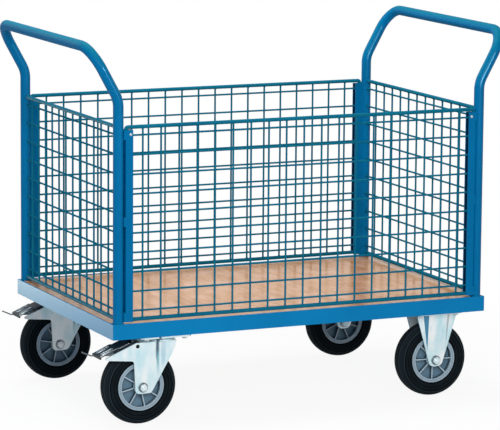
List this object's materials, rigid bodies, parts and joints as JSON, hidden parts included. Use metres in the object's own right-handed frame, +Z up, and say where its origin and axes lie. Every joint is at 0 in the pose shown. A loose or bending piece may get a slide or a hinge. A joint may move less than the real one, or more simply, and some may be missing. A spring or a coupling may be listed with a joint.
{
  "type": "mesh trolley",
  "caption": "Platform trolley with wire mesh on all sides, tubular push hoops leaning outward at both ends, wood deck in an angle frame, braked swivel castors and fixed castors",
  "frame": {"origin": "on the floor, under the middle of the trolley", "axes": "+X along the deck towards the fixed castors, +Y across it, +Z up"},
  "size_m": [1.201, 0.7022, 0.9905],
  "materials": {
    "blue_frame": "satin powder coat",
    "blue_tube": "satin powder coat",
    "blue_wire": "satin powder coat",
    "deck_wood": "satin beech decor",
    "zinc_sheet": "bright zinc plate",
    "zinc_bolt": "bright zinc plate",
    "pedal_dark": "dark oiled steel",
    "pin_dark": "dark oiled steel",
    "rod_steel": "dull drawn wire",
    "hub_grey": "moulded nylon",
    "tyre_black": "smooth solid rubber"
  },
  "bodies": {
    "chassis": {"frame_front_rail": "blue_frame", "frame_back_rail": "blue_frame", "frame_left_rail": "blue_frame", "frame_right_rail": "blue_frame", "left_castor_bed": "blue_frame", "right_castor_bed": "blue_frame", "deck_bearers": "blue_frame", "deck": "deck_wood", "left_hoop": "blue_tube", "right_hoop": "blue_tube", "left_end_rails": "blue_wire", "right_end_rails": "blue_wire", "left_end_mesh": "blue_wire", "right_end_mesh": "blue_wire", "front_top_rail": "blue_wire", "front_bottom_rail": "blue_wire", "front_mesh": "blue_wire", "back_top_rail": "blue_wire", "back_bottom_rail": "blue_wire", "back_mesh": "blue_wire", "front_left_post": "blue_tube", "front_right_post": "blue_tube", "back_left_post": "blue_tube", "back_right_post": "blue_tube", "post_screws": "zinc_bolt", "castor_bolts": "zinc_bolt", "front_left_plate": "zinc_sheet", "back_left_plate": "zinc_sheet", "front_right_fork": "zinc_sheet", "back_right_fork": "zinc_sheet", "front_right_axle": "zinc_bolt", "back_right_axle": "zinc_bolt"},
    "front_left_swivel": {"front_left_fork": "zinc_sheet", "front_left_pedal_pin": "pin_dark", "front_left_axle": "zinc_bolt"},
    "back_left_swivel": {"back_left_fork": "zinc_sheet", "back_left_pedal_pin": "pin_dark", "back_left_axle": "zinc_bolt"},
    "front_left_brake": {"front_left_pedal": "pedal_dark", "front_left_pedal_rod": "rod_steel"},
    "back_left_brake": {"back_left_pedal": "pedal_dark", "back_left_pedal_rod": "rod_steel"},
    "front_left_wheel": {"front_left_hub": "hub_grey", "front_left_tyre": "tyre_black"},
    "back_left_wheel": {"back_left_hub": "hub_grey", "back_left_tyre": "tyre_black"},
    "front_right_wheel": {"front_right_hub": "hub_grey", "front_right_tyre": "tyre_black"},
    "back_right_wheel": {"back_right_hub": "hub_grey", "back_right_tyre": "tyre_black"}
  },
  "joints": [
    {"name": "front_left_swivel_turn", "type": "hinge", "parent": "chassis", "child": "front_left_swivel", "pos_m": [-0.383, -0.297, 0.215], "axis": [0, 0, 1], "continuous": true},
    {"name": "back_left_swivel_turn", "type": "hinge", "parent": "chassis", "child": "back_left_swivel", "pos_m": [-0.383, 0.297, 0.215], "axis": [0, 0, 1], "continuous": true},
    {"name": "front_left_wheel_spin", "type": "hinge", "parent": "front_left_swivel", "child": "front_left_wheel", "pos_m": [-0.443, -0.297, 0.1], "axis": [0, 1, 0], "continuous": true},
    {"name": "back_left_wheel_spin", "type": "hinge", "parent": "back_left_swivel", "child": "back_left_wheel", "pos_m": [-0.443, 0.297, 0.1], "axis": [0, 1, 0], "continuous": true},
    {"name": "front_right_wheel_spin", "type": "hinge", "parent": "chassis", "child": "front_right_wheel", "pos_m": [0.409, -0.279, 0.1], "axis": [0, 1, 0], "continuous": true},
    {"name": "back_right_wheel_spin", "type": "hinge", "parent": "chassis", "child": "back_right_wheel", "pos_m": [0.409, 0.279, 0.1], "axis": [0, 1, 0], "continuous": true},
    {"name": "front_left_brake_lift", "type": "hinge", "parent": "front_left_swivel", "child": "front_left_brake", "pos_m": [-0.458, -0.297, 0.208], "axis": [0, 1, 0], "range_deg": [0, 12]},
    {"name": "back_left_brake_lift", "type": "hinge", "parent": "back_left_swivel", "child": "back_left_brake", "pos_m": [-0.458, 0.297, 0.208], "axis": [0, 1, 0], "range_deg": [0, 12]}
  ]
}
